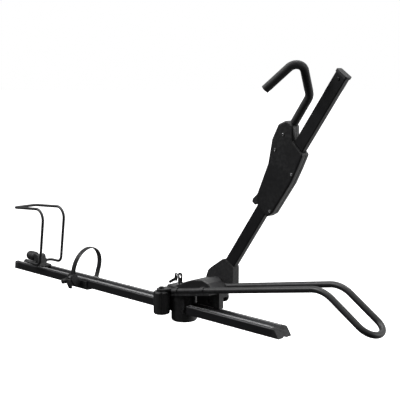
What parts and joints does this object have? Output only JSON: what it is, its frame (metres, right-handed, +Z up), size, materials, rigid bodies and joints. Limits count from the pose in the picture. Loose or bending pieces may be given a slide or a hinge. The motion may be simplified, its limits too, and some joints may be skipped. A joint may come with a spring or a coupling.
{
  "type": "hitch mounted bike rack",
  "caption": "Single-tray hitch bike rack: wheel rail with front tube loop, swing arm with sliding hook, rear strap and folding wire hoop on a bolt-on hub.",
  "frame": {"origin": "centre of the four-hole bolt pattern on the hub's underside", "axes": "+X along the tray rail towards the front wheel loop, +Y towards the swing arm's side, +Z up"},
  "size_m": [1.6643, 0.1854, 0.8162],
  "materials": {
    "powder_coat": "satin black powder coat",
    "rail_alloy": "black anodised, satin",
    "arm_alloy": "black anodised, satin",
    "cast_metal": "matte black cast metal",
    "moulded_plastic": "textured black nylon",
    "hook_rubber": "matte black rubber",
    "strap_plastic": "satin black flexible plastic",
    "fastener_steel": "blackened steel",
    "key_steel": "nickel plated",
    "key_plastic": "black plastic"
  },
  "bodies": {
    "tray": {"rail_rear": "rail_alloy", "rail_front": "rail_alloy", "rail_end_cap_rear": "moulded_plastic", "rail_end_cap_front": "moulded_plastic", "front_loop": "powder_coat", "loop_saddle_clamps": "powder_coat", "hub_housing": "cast_metal", "hub_rail_bolts": "fastener_steel", "hub_deck": "powder_coat", "hub_cover": "moulded_plastic", "bracket_post": "powder_coat", "arm_bracket": "powder_coat", "bracket_bolts": "fastener_steel", "pivot_stud": "fastener_steel", "pivot_nut": "fastener_steel", "lock_barrel": "fastener_steel"},
    "key": {"key_plug": "key_steel", "lock_key": "key_plastic", "key_ring": "key_steel"},
    "spare_key": {"spare_key": "key_plastic"},
    "clamp_knob": {"clamp_knob": "moulded_plastic", "clamp_stud": "fastener_steel", "clamp_nut": "fastener_steel"},
    "arm": {"arm_tube": "arm_alloy", "arm_tip_cap": "moulded_plastic", "arm_tip_screw": "fastener_steel", "arm_rack": "arm_alloy", "knuckle": "moulded_plastic", "knuckle_bushes": "moulded_plastic"},
    "hook_carriage": {"carriage_shell_near": "moulded_plastic", "carriage_shell_far": "moulded_plastic", "carriage_screws": "fastener_steel", "guide_liner": "moulded_plastic", "hook_rod": "fastener_steel", "hook_sleeve": "hook_rubber", "trigger_pin": "fastener_steel"},
    "release_trigger": {"release_trigger": "moulded_plastic"},
    "hoop_slide": {"hoop_base": "moulded_plastic", "hoop_sleeve": "moulded_plastic", "hoop_foot_screws": "fastener_steel"},
    "rear_hoop": {"rear_hoop": "powder_coat"},
    "hoop_knob": {"hoop_knob": "moulded_plastic", "hoop_knob_screw": "fastener_steel"},
    "strap_slide": {"strap_clamp": "moulded_plastic", "strap_pin": "fastener_steel", "buckle_frame": "moulded_plastic", "ratchet_axle": "fastener_steel"},
    "strap": {"strap": "strap_plastic"},
    "ratchet": {"ratchet_gear": "fastener_steel"},
    "ratchet_lever": {"ratchet_lever": "moulded_plastic"},
    "strap_clamp_knob": {"strap_clamp_knob": "moulded_plastic", "strap_clamp_screw": "fastener_steel"}
  },
  "joints": [
    {"name": "arm_swing", "type": "hinge", "parent": "tray", "child": "arm", "pos_m": [0.086, 0.072, 0.113], "axis": [0, 1, 0], "range_deg": [-75, 35]},
    {"name": "hook_slide", "type": "slide", "parent": "arm", "child": "hook_carriage", "axis": [0.5774, 0, 0.8164], "range_m": [-0.2, 0.225]},
    {"name": "trigger_pull", "type": "hinge", "parent": "hook_carriage", "child": "release_trigger", "pos_m": [0.27033, 0.072, 0.43592], "axis": [0, 1, 0], "range_deg": [0, 9], "stiffness_Nm_per_rad": 0.3, "springref_deg": -17.19},
    {"name": "hoop_slide_along_rail", "type": "slide", "parent": "tray", "child": "hoop_slide", "axis": [1, 0, 0], "range_m": [-0.045, 0.05]},
    {"name": "hoop_fold", "type": "hinge", "parent": "hoop_slide", "child": "rear_hoop", "pos_m": [-0.784, 0, 0.073], "axis": [0, 1, 0], "range_deg": [0, 50]},
    {"name": "hoop_knob_turn", "type": "hinge", "parent": "hoop_slide", "child": "hoop_knob", "pos_m": [-0.826, -0.008, 0.0885], "axis": [1, 0, 0], "continuous": true},
    {"name": "strap_slide_along_rail", "type": "slide", "parent": "tray", "child": "strap_slide", "axis": [1, 0, 0], "range_m": [-0.06, 0.36]},
    {"name": "strap_swing", "type": "hinge", "parent": "strap_slide", "child": "strap", "pos_m": [-0.509, 0.045, 0.045], "axis": [1, 0, 0], "range_deg": [-75, 0]},
    {"name": "ratchet_gear_turn", "type": "hinge", "parent": "strap_slide", "child": "ratchet", "pos_m": [-0.509, -0.065, 0.066], "axis": [1, 0, 0], "continuous": true},
    {"name": "ratchet_lever_lift", "type": "hinge", "parent": "strap_slide", "child": "ratchet_lever", "pos_m": [-0.509, -0.065, 0.066], "axis": [1, 0, 0], "range_deg": [-90, 0]},
    {"name": "strap_clamp_knob_turn", "type": "hinge", "parent": "strap_slide", "child": "strap_clamp_knob", "pos_m": [-0.58, -0.04, 0.036], "axis": [0, 1, 0], "continuous": true},
    {"name": "clamp_knob_turn", "type": "hinge", "parent": "tray", "child": "clamp_knob", "pos_m": [-0.0405, -0.0602, 0.06], "axis": [0, 0, 1], "continuous": true},
    {"name": "key_turn", "type": "hinge", "parent": "tray", "child": "key", "pos_m": [-0.008, -0.014, 0.1], "axis": [0, 0, 1], "range_deg": [0, 90]},
    {"name": "spare_key_lift", "type": "hinge", "parent": "key", "child": "spare_key", "pos_m": [-0.02, -0.014, 0.1469], "axis": [0, 1, 0], "range_deg": [0, 45]}
  ]
}
